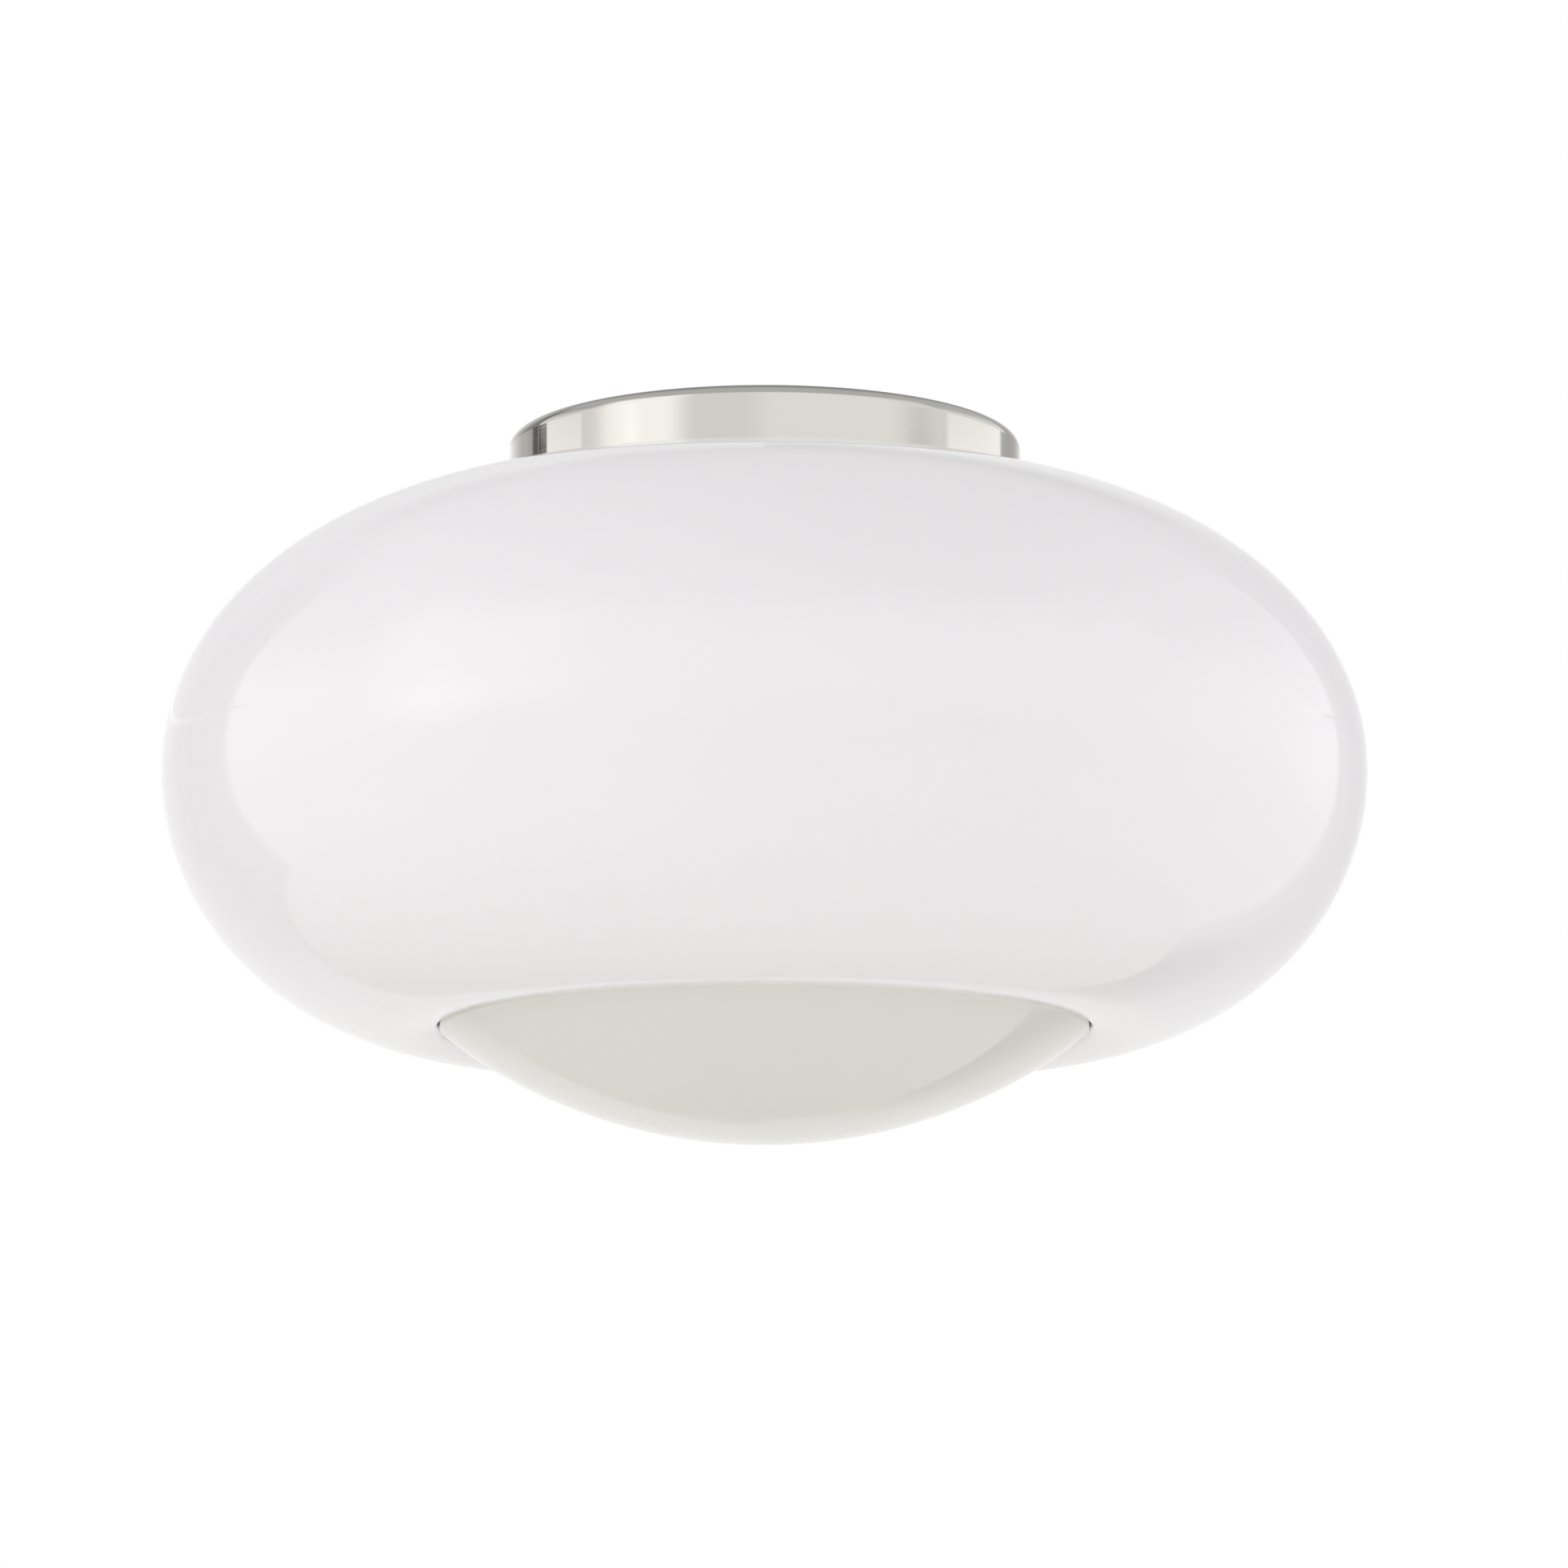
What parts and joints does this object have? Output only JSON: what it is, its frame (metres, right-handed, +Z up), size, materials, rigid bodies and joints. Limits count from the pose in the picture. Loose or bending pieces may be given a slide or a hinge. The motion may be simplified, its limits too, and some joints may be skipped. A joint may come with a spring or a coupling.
{
  "type": "flush ceiling light",
  "caption": "Flush ceiling light: flattened opal glass globe under a round polished nickel canopy, closed below by a removable glass dome, with screw-in lamps inside.",
  "frame": {"origin": "middle of the canopy's ceiling face, on the axis of the cable entry", "axes": "+Z up into the ceiling, the light hangs below; +X along the two lamps; the camera of the picture stands on the -Y side"},
  "size_m": [0.3555, 0.3556, 0.2101],
  "materials": {
    "polished_nickel": "polished nickel plate",
    "opal_glass": "glossy opal white",
    "dome_glass": "glossy opal, greyer than the shade",
    "clear_silicone": "translucent silicone, matt",
    "black_rubber": "matt",
    "zinc_steel": "bright zinc plate",
    "white_enamel": "white powder coat",
    "nickel_brass": "nickel plated brass",
    "white_nylon": "natural nylon",
    "brass": "bright",
    "green_screw": "green passivated",
    "black_insulation": "wire insulation",
    "white_insulation": "wire insulation",
    "porcelain": "glazed porcelain",
    "spring_steel": "stainless spring strip",
    "solder": "tinned contact",
    "nickel_cap": "nickel plated cap",
    "lamp_plastic": "white lamp housing",
    "board_aluminium": "white faced aluminium board",
    "frosted_globe": "frosted"
  },
  "bodies": {
    "fixture": {"block_screws": "zinc_steel", "bracket_nuts": "zinc_steel", "bracket_screws": "zinc_steel", "canopy": "polished_nickel", "canopy_gasket": "clear_silicone", "carrier_ring": "white_enamel", "clip_rivets": "zinc_steel", "dome_seat": "clear_silicone", "earth_link": "brass", "earth_screw": "green_screw", "holder_contact_left": "brass", "holder_contact_right": "brass", "holder_screws": "zinc_steel", "lamp_bracket": "white_enamel", "lampholder_left": "porcelain", "lampholder_right": "porcelain", "live_wires": "black_insulation", "neutral_wires": "white_insulation", "plate_bush": "black_rubber", "rod_nuts": "zinc_steel", "screw_shell_left": "brass", "screw_shell_right": "brass", "shade": "opal_glass", "shade_pad": "clear_silicone", "shade_studs": "zinc_steel", "spring_clips": "spring_steel", "stud_washers": "zinc_steel", "support_plate": "white_enamel", "terminal_block": "white_nylon", "terminal_poles": "brass", "terminal_screws": "zinc_steel", "thumb_nuts": "nickel_brass", "tie_rods": "white_enamel", "wire_bush": "black_rubber"},
    "dome": {"dome": "dome_glass", "dome_bond": "clear_silicone", "dome_ring": "white_enamel"},
    "bulb_left_tip": {"bulb_tip_left": "solder"},
    "bulb_left": {"bulb_cap_left": "nickel_cap", "bulb_housing_left": "lamp_plastic", "bulb_board_left": "board_aluminium", "bulb_globe_left": "frosted_globe"},
    "bulb_right_tip": {"bulb_tip_right": "solder"},
    "bulb_right": {"bulb_cap_right": "nickel_cap", "bulb_housing_right": "lamp_plastic", "bulb_board_right": "board_aluminium", "bulb_globe_right": "frosted_globe"}
  },
  "joints": [
    {"name": "dome_drop", "type": "slide", "parent": "fixture", "child": "dome", "axis": [0, 0, -1], "range_m": [0, 0.15], "deforming": ["spring_clips"]},
    {"name": "bulb_left_advance", "type": "slide", "parent": "fixture", "child": "bulb_left_tip", "axis": [-1, 0, 0], "range_m": [0, 0.01089]},
    {"name": "bulb_left_turn", "type": "hinge", "parent": "bulb_left_tip", "child": "bulb_left", "pos_m": [-0.06, 0, -0.084], "axis": [-1, 0, 0], "range_deg": [0, 1080]},
    {"name": "bulb_right_advance", "type": "slide", "parent": "fixture", "child": "bulb_right_tip", "axis": [1, 0, 0], "range_m": [0, 0.01089]},
    {"name": "bulb_right_turn", "type": "hinge", "parent": "bulb_right_tip", "child": "bulb_right", "pos_m": [0.06, 0, -0.084], "axis": [1, 0, 0], "range_deg": [0, 1080]}
  ],
  "couplings": [
    {"joint": "bulb_left_advance", "follows": "bulb_left_turn", "m_per_rad": 0.00057757},
    {"joint": "bulb_right_advance", "follows": "bulb_right_turn", "m_per_rad": 0.00057757}
  ]
}
